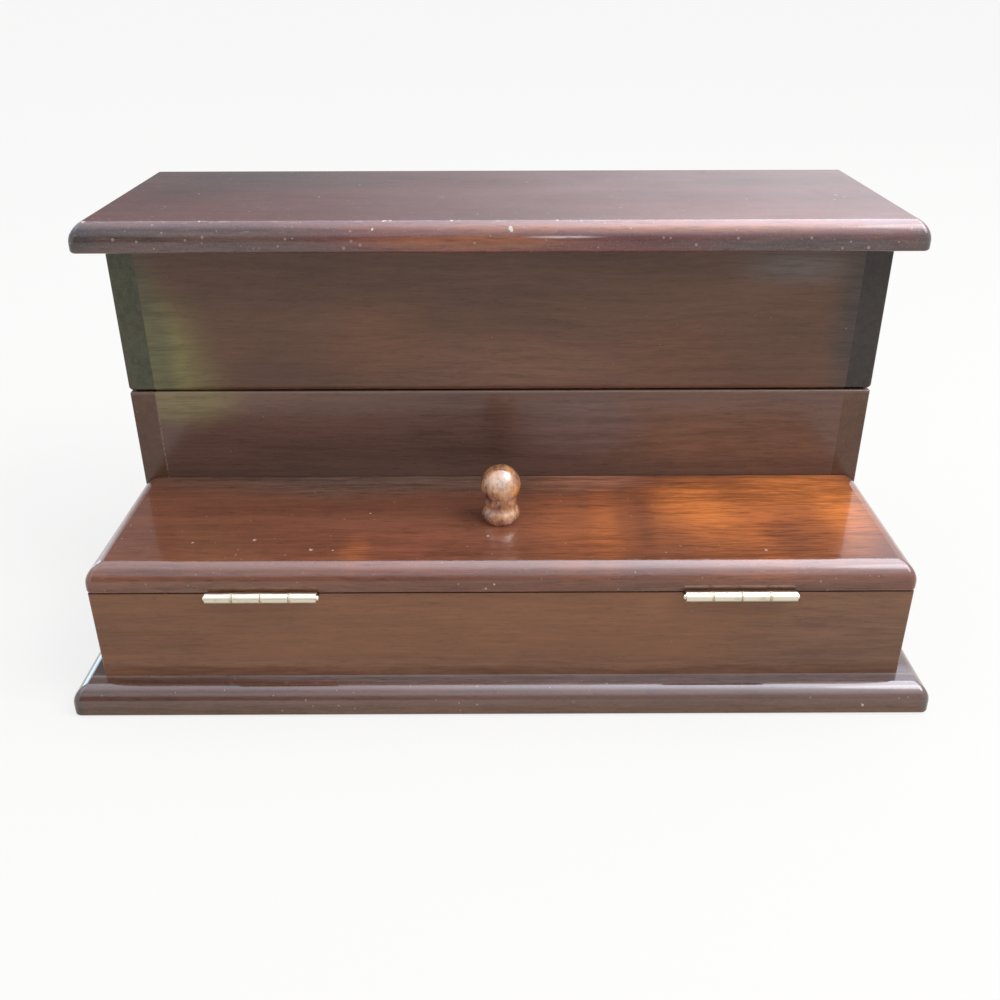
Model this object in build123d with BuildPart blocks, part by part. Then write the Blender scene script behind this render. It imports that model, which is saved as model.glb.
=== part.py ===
from build123d import *
import os

# A two-tier wooden desk box: a low box with a lid that turns forward on two front hinges, and
# behind it a tall box whose upper part is a deep cover that turns back on two rear hinges.
# Millimetres. X runs to the right, Y to the back and Z up. The origin is on the desk, under
# the middle of the base board.

# The two boxes
box_width = 300.0  # outside width of both boxes
low_box_depth = 74.8  # front face of the low box to the front face of the tall box
tall_box_depth = 91.5  # outside depth of the tall box
low_wall_height = 36.5  # the low box's walls, above the base board
tall_wall_height = 85.2  # the tall box's fixed walls, above the base board
cover_wall_height = 58.1  # the walls of the lifting cover
side_board = 10.5  # thickness of the side boards
cross_board = 10.0  # thickness of the boards that run across

# The three moulded boards: base, front lid and cover top. The thumbnail moulding on their upper
# edges is an arc that reaches in by its run and down by its drop, where it meets the upright
# face smoothly. It meets the flat top at a low arris while the run is shorter than the drop.
base_thickness = 11.0
base_overhang = 10.2
base_run = 5.4
base_drop = 6.4
base_under_round = 0.8  # small round along the lower edge
lid_thickness = 10.3
lid_front_overhang = 0.6
lid_side_overhang = 0.6
lid_run = 6.2
lid_drop = 7.2
lid_under_round = 1.2
top_thickness = 11.0
top_overhang = 9.9
top_run = 5.0
top_drop = 7.6
top_under_round = 1.2

# Eased corners and edges
board_corner = 2.8  # upright corners of the moulded boards, running up into the moulding
corner_ease = 0.8  # upright corners of the boxes, and the rim of the tall box
cover_lip_round = 2.0  # lower outer edge of the cover

# Gaps between what moves and what it rests on
lid_seat_gap = 0.3
lid_back_gap = 0.5
cover_seat_gap = 0.4

# Brass butt hinges, four alike
hinge_length = 40.0
hinge_end_inset = 43.5  # end of the box to the near end of a hinge
barrel_diameter = 3.7
barrel_stand_off = 3.2  # pin centre to the face of the board
knuckle_count = 4
knuckle_gap = 0.15
knuckle_room = 0.4  # from a knuckle to the notch in the other leaf
leaf_thickness = 0.85
leaf_gap = 0.3  # between the two leaves when the hinge is closed
leaf_inset = 2.2  # wood left behind the leaf
mortise_slack = 0.4
pin_diameter = 1.9
pin_clearance = 0.05
pin_end = 1.0  # domed end that stands out of the barrel
pin_dome = 0.7  # rounding of that end

# Countersunk screws
head_angle = 90.0
screw_clearance = 0.05
screw_tip = 1.5  # length of the point
pilot_room = 0.8  # empty depth past the point
slot_width = 0.7
slot_depth = 0.6
hinge_screw_length = 6.0
hinge_screw_diameter = 2.2
hinge_screw_head = 3.8
hinge_screw_inset = 8.0  # end of the hinge to its nearest screw
base_screw_length = 25.0
base_screw_diameter = 3.5
base_screw_head = 7.0
base_screw_inset = 45.0  # end of a cross board to its outer screw
side_screw_inset = 25.0  # end of a side board to its screw
knob_screw_length = 18.0
knob_screw_diameter = 3.0
knob_screw_head = 6.0

# Turned knob
knob_height = 22.8
knob_ball_diameter = 15.4
knob_neck_diameter = 12.2
knob_foot_diameter = 14.8
knob_foot_height = 7.2
knob_foot_middle = 3.4
knob_base_diameter = 12.4

# Levels
base_top = base_thickness
low_rim = base_top + low_wall_height
lid_bottom = low_rim + lid_seat_gap
lid_top = lid_bottom + lid_thickness
tall_rim = base_top + tall_wall_height
cover_bottom = tall_rim + cover_seat_gap
cover_wall_top = cover_bottom + cover_wall_height
overall_height = cover_wall_top + top_thickness

# Faces from front to back
base_width = box_width + 2 * base_overhang
base_depth = low_box_depth + tall_box_depth + 2 * base_overhang
base_front = -base_depth / 2
base_back = base_depth / 2
low_face = base_front + base_overhang
low_front_back = low_face + cross_board
tall_face = low_face + low_box_depth
tall_front_back = tall_face + cross_board
back_face = tall_face + tall_box_depth
back_panel_front = back_face - cross_board
half_width = box_width / 2
inside_width = box_width - 2 * side_board
lid_front = low_face - lid_front_overhang
lid_back = tall_face - lid_back_gap
lid_width = box_width + 2 * lid_side_overhang
top_width = box_width + 2 * top_overhang
top_front = tall_face - top_overhang
top_back = back_face + top_overhang
past_the_ends = base_width  # reach of the sections that the moulded boards are cut to
base_edge = (base_run, base_drop)
lid_edge = (lid_run, lid_drop)
top_edge = (top_run, top_drop)

# Hinges: the pin lies level with the gap between the wall and the lid or cover, and both are cut
# away for a leaf and half of the gap between leaves. X runs along the pin, Y into the wood.
barrel_radius = barrel_diameter / 2
hinge_x = half_width - hinge_end_inset - hinge_length / 2
leaf_face = leaf_gap / 2 + leaf_thickness
leaf_reach = barrel_stand_off + cross_board - leaf_inset
screw_line = (barrel_stand_off + leaf_reach) / 2
screw_spread = hinge_length / 2 - hinge_screw_inset
front_pin_y = low_face - barrel_stand_off
rear_pin_y = back_face + barrel_stand_off
front_pin_z = (low_rim + lid_bottom) / 2
rear_pin_z = (tall_rim + cover_bottom) / 2
hinges = {
    "front_hinge_left": Plane((-hinge_x, front_pin_y, front_pin_z), x_dir=(1, 0, 0)),
    "front_hinge_right": Plane((hinge_x, front_pin_y, front_pin_z), x_dir=(1, 0, 0)),
    "rear_hinge_left": Plane((-hinge_x, rear_pin_y, rear_pin_z), x_dir=(-1, 0, 0)),
    "rear_hinge_right": Plane((hinge_x, rear_pin_y, rear_pin_z), x_dir=(-1, 0, 0)),
}

os.makedirs("parts", exist_ok=True)


def moulded_end(end, inward, bottom, top, run, drop):
    """Draws one end of a moulded board's section: upright face, thumbnail."""
    Line((end, bottom), (end, top - drop))
    TangentArc((end, top - drop), (end + inward * run, top), tangent=(0, 1))


def moulded_section(low, high, bottom, top, run, drop):
    """Draws the section of a board that is moulded at both ends."""
    moulded_end(low, 1, bottom, top, run, drop)
    moulded_end(high, -1, bottom, top, run, drop)
    Line((low, bottom), (high, bottom))
    Line((low + run, top), (high - run, top))


def ease_board(board, under_round, corners=4, sides=4):
    """Rounds a moulded board's corners, and then its lower edge, both counted from the front."""
    fillet(board.edges().filter_by(Axis.Z).sort_by(Axis.Y)[:corners], board_corner)
    lower_edges = board.faces().sort_by(Axis.Z)[0].edges().sort_by(Axis.Y)
    fillet(lower_edges[: corners + sides], under_round)


def screw_points(hinge, up):
    """Places of a leaf's two screws, with Z pointing out of their heads."""
    head_face = up * leaf_gap / 2
    return [
        Plane(hinge.from_local_coords((x, screw_line, head_face)), z_dir=(0, 0, -up))
        for x in (-screw_spread, screw_spread)
    ]


def from_below(points, z):
    """Places of screws driven upwards from this level, with Z pointing out of their heads."""
    return [Plane((x, y, z), z_dir=(0, 0, -1)) for x, y in points]


def screw_pilot(length, diameter):
    """Cuts a screw's round hole, measured from the face that its head is flush with."""
    Hole(diameter / 2 + screw_clearance, depth=length + pilot_room)


def screw_seat(diameter, head, depth):
    """Cuts a countersunk hole through a board or leaf of this thickness."""
    CounterSinkHole(
        diameter / 2 + screw_clearance, head / 2 + screw_clearance, depth, head_angle
    )


def wood_screw(length, diameter, head):
    """Makes a slotted countersunk screw that points down from the XY plane."""
    with BuildSketch(Plane.XZ) as half_section:
        with BuildLine():
            Polyline(
                (0, 0),
                (head / 2, 0),
                (diameter / 2, (diameter - head) / 2),
                (diameter / 2, screw_tip - length),
                (0, -length),
                close=True,
            )
        make_face()
    revolve(half_section.sketch, axis=Axis.Z)
    with Locations((0, 0, -slot_depth / 2)):
        Box(head, slot_width, slot_depth, mode=Mode.SUBTRACT)


def mortise(hinge):
    """Cuts the pocket that a closed hinge lies in, open towards its barrel and its pin's level."""
    with BuildSketch(hinge.offset(-leaf_face)) as pocket:
        with Locations((0, (leaf_reach + mortise_slack) / 2)):
            Rectangle(hinge_length + 2 * mortise_slack, leaf_reach + mortise_slack)
    extrude(pocket.sketch, amount=2 * leaf_face, mode=Mode.SUBTRACT)


def hinge_leaf(hinge, up, first_knuckle):
    """Makes one leaf: a plate, and every second knuckle counted from the first one."""
    section = Plane(hinge.origin, x_dir=hinge.y_dir, z_dir=hinge.x_dir)
    plate_middle = up * (leaf_gap + leaf_thickness) / 2
    notch = barrel_radius + knuckle_room
    with BuildSketch(section.offset(-hinge_length / 2)) as plate:
        with Locations(((notch + leaf_reach) / 2, plate_middle)):
            Rectangle(leaf_reach - notch, leaf_thickness)
    extrude(plate.sketch, amount=hinge_length)
    pitch = (hinge_length + knuckle_gap) / knuckle_count
    for index in range(first_knuckle, knuckle_count, 2):
        with BuildSketch(section.offset(index * pitch - hinge_length / 2)) as knuckle:
            Circle(barrel_radius)
            with Locations((notch / 2, plate_middle)):
                Rectangle(notch, leaf_thickness)
            Circle(pin_diameter / 2 + pin_clearance, mode=Mode.SUBTRACT)
        extrude(knuckle.sketch, amount=pitch - knuckle_gap)
    with Locations(*screw_points(hinge, up)):
        screw_seat(hinge_screw_diameter, hinge_screw_head, leaf_thickness)


# Base screws, driven up into the middle of each board that stands on the base
outer_screw_x = half_width - base_screw_inset
side_screw_x = half_width - side_board / 2
side_screw_y = (low_front_back + side_screw_inset, back_face - side_screw_inset)
low_front_screws = [(x, low_face + cross_board / 2) for x in (-outer_screw_x, 0, outer_screw_x)]
tall_front_screws = [(x, tall_face + cross_board / 2) for x in (-outer_screw_x, outer_screw_x)]
back_panel_screws = [(x, back_face - cross_board / 2) for x in (-outer_screw_x, 0, outer_screw_x)]
side_screws = [(side_screw_x, y) for y in side_screw_y]
base_screw_points = low_front_screws + tall_front_screws + back_panel_screws
base_screw_points += [(sign * x, y) for sign in (-1, 1) for x, y in side_screws]


# Base board, moulded on all four sides
with BuildPart() as base_board:
    with BuildSketch(Plane.XZ):
        with BuildLine():
            moulded_section(-base_width / 2, base_width / 2, 0, base_top, *base_edge)
        make_face()
    extrude(amount=past_the_ends, both=True)
    with BuildSketch(Plane.YZ):
        with BuildLine():
            moulded_section(base_front, base_back, 0, base_top, *base_edge)
        make_face()
    extrude(amount=past_the_ends, both=True, mode=Mode.INTERSECT)
    ease_board(base_board, base_under_round)
    with Locations(*from_below(base_screw_points, 0)):
        screw_seat(base_screw_diameter, base_screw_head, base_thickness)
base_board.part.label = "base_board"
export_step(base_board.part, "parts/base_board.step")


# Side boards of the carcase, each one board cut to an L
with BuildPart() as right_side:
    with BuildSketch(Plane.YZ.offset(half_width - side_board)):
        with BuildLine():
            Polyline(
                (low_front_back, base_top),
                (back_face, base_top),
                (back_face, tall_rim),
                (tall_face, tall_rim),
                (tall_face, low_rim),
                (low_front_back, low_rim),
                close=True,
            )
        make_face()
    extrude(amount=side_board)
    outer_face = right_side.faces().sort_by(Axis.X)[-1]
    rim = right_side.faces().sort_by(Axis.Z)[-1]
    tall_uprights = outer_face.edges().filter_by(Axis.Z).sort_by(Axis.Y)[1:]
    rim_ends = rim.edges().filter_by(Axis.X)
    outer_rim = rim.edges().filter_by(Axis.Y).sort_by(Axis.X)[-1]
    fillet([*tall_uprights, *rim_ends, outer_rim], corner_ease)
    with Locations(*from_below(side_screws, 0)):
        screw_pilot(base_screw_length, base_screw_diameter)
right_side.part.label = "right_side"
export_step(right_side.part, "parts/right_side.step")

with BuildPart() as left_side:
    mirror(right_side.part, about=Plane.YZ)
left_side.part.label = "left_side"
export_step(left_side.part, "parts/left_side.step")


# Front of the low box, which covers the ends of the side boards
with BuildPart() as low_front:
    with BuildSketch(Plane.XY.offset(base_top)):
        with Locations((0, low_face + cross_board / 2)):
            Rectangle(box_width, cross_board)
    extrude(amount=low_wall_height)
    fillet(low_front.edges().filter_by(Axis.Z).group_by(Axis.Y)[0], corner_ease)
    for place in ("front_hinge_left", "front_hinge_right"):
        mortise(hinges[place])
        with Locations(*screw_points(hinges[place], -1)):
            screw_pilot(hinge_screw_length, hinge_screw_diameter)
    with Locations(*from_below(low_front_screws, 0)):
        screw_pilot(base_screw_length, base_screw_diameter)
low_front.part.label = "low_front"
export_step(low_front.part, "parts/low_front.step")


# Front of the tall box, between the side boards, which also closes the back of the low box
with BuildPart() as tall_front:
    with BuildSketch(Plane.XY.offset(base_top)):
        with Locations((0, tall_face + cross_board / 2)):
            Rectangle(inside_width, cross_board)
    extrude(amount=tall_wall_height)
    fillet(tall_front.faces().sort_by(Axis.Z)[-1].edges().sort_by(Axis.Y)[0], corner_ease)
    with Locations(*from_below(tall_front_screws, 0)):
        screw_pilot(base_screw_length, base_screw_diameter)
tall_front.part.label = "tall_front"
export_step(tall_front.part, "parts/tall_front.step")


# Back of the tall box, between the side boards, with the rear hinges let into its rim
with BuildPart() as back_panel:
    with BuildSketch(Plane.XY.offset(base_top)):
        with Locations((0, back_face - cross_board / 2)):
            Rectangle(inside_width, cross_board)
    extrude(amount=tall_wall_height)
    fillet(back_panel.faces().sort_by(Axis.Z)[-1].edges().sort_by(Axis.Y)[-1], corner_ease)
    for place in ("rear_hinge_left", "rear_hinge_right"):
        mortise(hinges[place])
        with Locations(*screw_points(hinges[place], -1)):
            screw_pilot(hinge_screw_length, hinge_screw_diameter)
    with Locations(*from_below(back_panel_screws, 0)):
        screw_pilot(base_screw_length, base_screw_diameter)
back_panel.part.label = "back_panel"
export_step(back_panel.part, "parts/back_panel.step")


# Screws that hold the walls on the base
with BuildPart() as base_screw:
    wood_screw(base_screw_length, base_screw_diameter, base_screw_head)
with BuildPart() as base_screws:
    with Locations(*from_below(base_screw_points, 0)):
        add(base_screw.part)
base_screws.part.label = "base_screws"
export_step(base_screws.part, "parts/base_screws.step")


# Lid of the low box, moulded at the front and sides, square at the back
knob_y = (lid_front + lid_back) / 2
with BuildPart() as front_lid:
    with BuildSketch(Plane.XZ):
        with BuildLine():
            moulded_section(-lid_width / 2, lid_width / 2, lid_bottom, lid_top, *lid_edge)
        make_face()
    extrude(amount=past_the_ends, both=True)
    with BuildSketch(Plane.YZ):
        with BuildLine():
            moulded_end(lid_front, 1, lid_bottom, lid_top, *lid_edge)
            Polyline(
                (lid_front, lid_bottom),
                (lid_back, lid_bottom),
                (lid_back, lid_top),
                (lid_front + lid_run, lid_top),
            )
        make_face()
    extrude(amount=past_the_ends, both=True, mode=Mode.INTERSECT)
    ease_board(front_lid, lid_under_round, corners=2, sides=3)
    with Locations(*from_below([(0, knob_y)], lid_bottom)):
        screw_seat(knob_screw_diameter, knob_screw_head, lid_thickness)
    for place in ("front_hinge_left", "front_hinge_right"):
        mortise(hinges[place])
        with Locations(*screw_points(hinges[place], 1)):
            screw_pilot(hinge_screw_length, hinge_screw_diameter)
front_lid.part.label = "front_lid"
export_step(front_lid.part, "parts/front_lid.step")


# Turned knob: a ball on a short neck and a rounded foot
with BuildPart() as knob:
    ball_radius = knob_ball_diameter / 2
    neck_radius = knob_neck_diameter / 2
    foot_radius = knob_foot_diameter / 2
    base_radius = knob_base_diameter / 2
    ball_centre = knob_height - ball_radius
    neck_top = ball_centre - (ball_radius**2 - neck_radius**2) ** 0.5
    foot_middle = (foot_radius, knob_foot_middle)
    shoulder = ((foot_radius + neck_radius) / 2, (knob_foot_middle + knob_foot_height) / 2)
    with BuildSketch(Plane((0, knob_y, lid_top), x_dir=(1, 0, 0), z_dir=(0, -1, 0))):
        with BuildLine():
            Line((0, 0), (base_radius, 0))
            TangentArc(foot_middle, (base_radius, 0), tangent=(0, -1))
            TangentArc(foot_middle, shoulder, tangent=(0, 1))
            TangentArc((neck_radius, knob_foot_height), shoulder, tangent=(0, -1))
            Line((neck_radius, knob_foot_height), (neck_radius, neck_top))
            ThreePointArc((neck_radius, neck_top), (ball_radius, ball_centre), (0, knob_height))
            Line((0, knob_height), (0, 0))
        make_face()
    revolve(axis=Axis((0, knob_y, 0), (0, 0, 1)))
    with Locations(*from_below([(0, knob_y)], lid_bottom)):
        screw_pilot(knob_screw_length, knob_screw_diameter)
knob.part.label = "knob"
export_step(knob.part, "parts/knob.step")

with BuildPart() as knob_screw_blank:
    wood_screw(knob_screw_length, knob_screw_diameter, knob_screw_head)
with BuildPart() as knob_screw:
    with Locations(*from_below([(0, knob_y)], lid_bottom)):
        add(knob_screw_blank.part)
knob_screw.part.label = "knob_screw"
export_step(knob_screw.part, "parts/knob_screw.step")


# Cover: two side boards, front and back between them, and a moulded top board
with BuildPart() as cover_right:
    with BuildSketch(Plane.YZ.offset(half_width - side_board)):
        with Locations(((tall_face + back_face) / 2, (cover_bottom + cover_wall_top) / 2)):
            Rectangle(tall_box_depth, cover_wall_height)
    extrude(amount=side_board)
    lip = cover_right.faces().sort_by(Axis.Z)[0]
    front_lip = lip.edges().sort_by(Axis.Y)[0]
    outer_lip = lip.edges().sort_by(Axis.X)[-1]
    fillet([front_lip, outer_lip], cover_lip_round)
    uprights = cover_right.edges().filter_by(Axis.Z).group_by(Axis.X)[-1]
    fillet(uprights, corner_ease)
cover_right.part.label = "cover_right"
export_step(cover_right.part, "parts/cover_right.step")

with BuildPart() as cover_left:
    mirror(cover_right.part, about=Plane.YZ)
cover_left.part.label = "cover_left"
export_step(cover_left.part, "parts/cover_left.step")

with BuildPart() as cover_front:
    with BuildSketch(Plane.XY.offset(cover_bottom)):
        with Locations((0, tall_face + cross_board / 2)):
            Rectangle(inside_width, cross_board)
    extrude(amount=cover_wall_height)
    fillet(cover_front.faces().sort_by(Axis.Z)[0].edges().sort_by(Axis.Y)[0], cover_lip_round)
cover_front.part.label = "cover_front"
export_step(cover_front.part, "parts/cover_front.step")

with BuildPart() as cover_back:
    with BuildSketch(Plane.XY.offset(cover_bottom)):
        with Locations((0, back_face - cross_board / 2)):
            Rectangle(inside_width, cross_board)
    extrude(amount=cover_wall_height)
    for place in ("rear_hinge_left", "rear_hinge_right"):
        mortise(hinges[place])
        with Locations(*screw_points(hinges[place], 1)):
            screw_pilot(hinge_screw_length, hinge_screw_diameter)
cover_back.part.label = "cover_back"
export_step(cover_back.part, "parts/cover_back.step")

with BuildPart() as cover_top:
    with BuildSketch(Plane.XZ):
        with BuildLine():
            moulded_section(
                -top_width / 2, top_width / 2, cover_wall_top, overall_height, *top_edge
            )
        make_face()
    extrude(amount=past_the_ends, both=True)
    with BuildSketch(Plane.YZ):
        with BuildLine():
            moulded_section(top_front, top_back, cover_wall_top, overall_height, *top_edge)
        make_face()
    extrude(amount=past_the_ends, both=True, mode=Mode.INTERSECT)
    ease_board(cover_top, top_under_round)
cover_top.part.label = "cover_top"
export_step(cover_top.part, "parts/cover_top.step")


# Hinges: the box leaf has the first and third knuckles, the other leaf the rest
for place, hinge in hinges.items():
    moving = "lid" if place.startswith("front") else "cover"
    with BuildPart() as box_leaf:
        hinge_leaf(hinge, -1, 0)
    box_leaf.part.label = place + "_box_leaf"
    export_step(box_leaf.part, "parts/" + place + "_box_leaf.step")
    with BuildPart() as moving_leaf:
        hinge_leaf(hinge, 1, 1)
    moving_leaf.part.label = place + "_" + moving + "_leaf"
    export_step(moving_leaf.part, "parts/" + place + "_" + moving + "_leaf.step")
    with BuildPart() as pin:
        with BuildSketch(Plane(hinge.origin, z_dir=hinge.x_dir)):
            Circle(pin_diameter / 2)
        extrude(amount=hinge_length / 2 + pin_end, both=True)
        fillet(pin.edges().filter_by(GeomType.CIRCLE), pin_dome)
    pin.part.label = place + "_pin"
    export_step(pin.part, "parts/" + place + "_pin.step")


# Hinge screws, one group for each pair of hinges and each side of them
with BuildPart() as hinge_screw:
    wood_screw(hinge_screw_length, hinge_screw_diameter, hinge_screw_head)
for group, up in (("front_box", -1), ("front_lid", 1), ("rear_box", -1), ("rear_cover", 1)):
    pair = group.split("_")[0]
    with BuildPart() as screws:
        for place in (pair + "_hinge_left", pair + "_hinge_right"):
            with Locations(*screw_points(hinges[place], up)):
                add(hinge_screw.part)
    screws.part.label = group + "_hinge_screws"
    export_step(screws.part, "parts/" + group + "_hinge_screws.step")
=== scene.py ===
import math

import bmesh
import bpy
from mathutils import Matrix, Vector


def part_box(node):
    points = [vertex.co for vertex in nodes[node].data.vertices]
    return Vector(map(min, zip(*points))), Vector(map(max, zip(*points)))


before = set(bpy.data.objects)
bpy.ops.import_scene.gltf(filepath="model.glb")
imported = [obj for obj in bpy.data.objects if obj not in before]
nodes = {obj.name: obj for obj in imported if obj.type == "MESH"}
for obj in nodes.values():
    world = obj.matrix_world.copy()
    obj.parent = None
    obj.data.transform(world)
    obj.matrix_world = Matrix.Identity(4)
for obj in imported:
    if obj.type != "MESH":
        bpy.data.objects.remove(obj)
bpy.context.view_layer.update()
mm = 0.001
toneStops = (0.36, 0.50, 0.66)  # where wood is dark, middle and light
print("frame loaded:", len(nodes), "pieces")


def grey(level):
    return (level,) * 3


class Wire:
    # one output of a node, so that shader maths reads as Python

    def __init__(self, sheet, socket):
        self.sheet, self.socket = sheet, socket

    def maths(self, operation, a, b):
        return self.sheet.add("ShaderNodeMath", {"operation": operation}, {0: a, 1: b})

    def __add__(self, other):
        return self.maths("ADD", self, other)

    def __sub__(self, other):
        return self.maths("SUBTRACT", self, other)

    def __rsub__(self, other):
        return self.maths("SUBTRACT", other, self)

    def __mul__(self, other):
        return self.maths("MULTIPLY", self, other)

    def __lt__(self, other):
        return self.maths("LESS_THAN", self, other)

    def __abs__(self):
        return self.maths("ABSOLUTE", self, 0)

    __radd__ = __add__
    __rmul__ = __mul__

    def part(self):  # what follows the decimal point
        return self.maths("FRACT", self, 0)

    def also(self, output):  # another output of the same node
        return Wire(self.sheet, self.socket.node.outputs[output])


class Sheet:
    # the node tree of one material, or of the world

    def __init__(self, owner):
        owner.use_nodes = True
        self.owner, self.tree = owner, owner.node_tree
        self.tree.nodes.clear()

    def add(self, kind, settings=None, inputs=None, output=0):
        node = self.tree.nodes.new(kind)
        for key, value in (settings or {}).items():
            if key == "stops":
                ramp = node.color_ramp
                while len(ramp.elements) < len(value):
                    ramp.elements.new(1)
                for element, (place, colour) in zip(ramp.elements, value):
                    element.position, element.color = place, (*colour, 1)
            else:
                setattr(node, key, value)
        for key, value in (inputs or {}).items():
            if isinstance(value, Wire):
                self.tree.links.new(value.socket, node.inputs[key])
            elif isinstance(value, tuple) and node.inputs[key].type == "RGBA":
                node.inputs[key].default_value = (*value, 1)
            else:
                node.inputs[key].default_value = value
        return Wire(self, node.outputs[output]) if len(node.outputs) else None

    def mix(self, mask, a, b, blend="MIX"):
        settings = {"data_type": "RGBA", "blend_type": blend}
        return self.add("ShaderNodeMix", settings, {0: mask, 6: a, 7: b}, 2)

    def vector(self, operation, a, b, output=0):
        return self.add("ShaderNodeVectorMath", {"operation": operation}, {0: a, 1: b}, output)

    def stretch(self, vector, scale):  # repeats a metre, the same all ways or along X, Y and Z
        return self.vector("MULTIPLY", vector, scale if isinstance(scale, tuple) else grey(scale))

    def split(self, vector):
        x = self.add("ShaderNodeSeparateXYZ", inputs={0: vector})
        return x, x.also(1), x.also(2)

    def noise(self, vector, detail=2.0, rough=0.5, output=0):
        values = {"Vector": vector, "Scale": 1.0, "Detail": detail, "Roughness": rough}
        return self.add("ShaderNodeTexNoise", {"noise_dimensions": "3D"}, values, output)

    def ease(self, value, low, high):  # 0 below low, 1 above high
        settings = {"interpolation_type": "SMOOTHSTEP"}
        values = {"Value": value, "From Min": low, "From Max": high}
        return self.add("ShaderNodeMapRange", settings, values)

    def within(self, value, middle, reach, soft):  # 1 near the middle, 0 past the reach
        return 1 - self.ease(abs(value - middle), reach - soft, reach + soft)

    def blend(self, shares, *fields):  # a weighted sum
        total = 0
        for share, field in zip(shares, fields):
            total = field * share + total
        return total

    def tinted(self, tone, look):  # dark, middle and light by tone
        stops = zip(toneStops, (look["dark"], look["middle"], look["light"]))
        return self.add("ShaderNodeValToRGB", {"stops": list(stops)}, {0: tone})

    def patch(self, at, spot, wobble):  # 1 inside a soft oval, 0 outside it
        centred = self.vector("SUBTRACT", at, spot["at"])
        scaled = self.vector("DIVIDE", centred, spot["reach"])
        away = self.vector("LENGTH", scaled, (0, 0, 0), "Value")
        ragged = (wobble - 0.5) * spot.get("wobble", 1.0)
        return (1 - self.ease(away + ragged, spot["edge"], 1.0)) * spot["amount"]

    # Patches of stain, and on some boards patches of painted light, painted shade and painted
    # reflection
    def overlaid(self, colour, at, spots, figure, wobble):  # patches that keep the wood's figure
        for spot in spots:
            shade = self.mix(1.0, figure, spot["colour"], "MULTIPLY")
            colour = self.mix(self.patch(at, spot, wobble), colour, shade)
        return colour


def lacquered(sheet, colour, rough, height, coat, finish):
    # what every varnished surface ends in: a Principled shader with a clear coat
    bump = sheet.add("ShaderNodeBump", inputs={
        "Strength": finish["bump"], "Distance": finish["bumpDepth"], "Height": height})
    shader = sheet.add("ShaderNodeBsdfPrincipled", inputs={
        "Base Color": colour, "Roughness": rough, "Normal": bump,
        "Specular IOR Level": finish["specular"],
        "Coat Weight": coat, "Coat Roughness": finish["coatRough"]})
    sheet.add("ShaderNodeOutputMaterial", inputs={"Surface": shader})
    return sheet.owner


# A varnished mahogany board. Scales are repeats a metre: a pair is along the grain and across
# it, and three numbers are along X, Y and Z. A step says where something starts and is full.
# The grain runs along X (0) or Y (1). Each board adds its own three tones, and its marks:
# a patch is a soft oval in metres, with its middle, its reach along X, Y and Z, the share of
# that reach where it starts to fade (edge), how ragged it is (wobble), its colour and how
# much of it shows (amount). The coat is thin in ovals of the same kind. A worn line lies
# across two of the axes (X is 0) and runs along the third. A chip is a place, a size and
# a colour.
board = {
    "grain": 0,
    "pore": (0.018, 0.008, 0.005), "poreDepth": 0.36, "poreStep": (0.57, 0.70),
    "fleck": (0.20, 0.095, 0.050), "fleckAmount": 0.16, "fleckStep": (0.30, 0.40),
    "endGrain": (0.050, 0.031, 0.022), "endAmount": 0.8, "endStep": (0.70, 0.92),
    "broad": (3.5, 48), "streak": (26, 420), "fibre": (110, 1400), "pores": (240, 1900),
    "sway": (9, 17, 17), "wander": 0.006, "cloud": (14, 22, 22),
    "figure": 0.25, "figureStep": (0.38, 0.62),
    "toneShares": (0.36, 0.26, 0.18, 0.20),  # broad, streak, fibre and cloud
    "figureShares": (0.25, 0.45, 0.30),  # broad, streak and fibre
    "wobbleShares": (0.7, 0.3),  # cloud and streak, for the patches' outlines
    "patches": [], "chips": [], "ragged": 900, "raggedness": 3.4, "chipStep": (0.7, 1.0),
    "worn": [], "wornColour": (0.34, 0.24, 0.20), "rub": (170, 600, 600), "rubStep": 0.12,
    "dust": 0.25, "dustColour": (0.42, 0.34, 0.30), "dustCells": 330, "dustSize": 0.24,
    "dustCloud": 0.20, "dustStep": (-0.02, 0.03), "dustAmount": 0.55,
    "haze": 0.02, "grit": (1500, 2000, 2000), "gritStep": (0.52, 0.72),
    "rough": 0.19, "smear": 0.24, "smears": (45, 30, 30), "specular": 0.5,
    "coat": 0.6, "coatRough": 0.06, "thin": [], "uneven": 0.60,
    "heightShares": (0.3, 0.3, -0.3, 1.2),  # fibre, pore field, pores and dust
    "bump": 0.35, "bumpDepth": 0.05 * mm, "ripple": 1.0, "ripples": (70, 150, 150),
}
# upright boards, rubbed back to less of a shine
panel = {"specular": 0.3, "coat": 0.15, "poreDepth": 0.20}

# Lowest and highest corner of the boards that the looks below are placed by
baseLow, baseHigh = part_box("base_board")
lowFrontLow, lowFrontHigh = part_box("low_front")
tallFrontLow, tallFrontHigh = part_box("tall_front")
backLow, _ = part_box("back_panel")
coverFrontLow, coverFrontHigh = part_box("cover_front")
lidLow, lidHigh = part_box("front_lid")
topLow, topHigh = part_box("cover_top")

# Wood is bare inside the two boxes and under the base, wherever it bounds one of these rooms,
# each given by its lowest and highest corner
skin = 0.25 * mm  # how far bare wood reaches in from a room's sides
bareWood = {
    "colour": (0.135, 0.062, 0.034), "dim": 0.55, "bright": 1.3, "pores": 0.5, "rough": 0.30,
    "rooms": [
        ((tallFrontLow.x, lowFrontHigh.y, baseHigh.z), (tallFrontHigh.x, tallFrontLow.y, lidLow.z)),
        ((tallFrontLow.x, tallFrontHigh.y, baseHigh.z), (tallFrontHigh.x, backLow.y, topLow.z)),
        ((baseLow.x, baseLow.y, -skin), (baseHigh.x, baseHigh.y, 0)),
    ],
}


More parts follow.
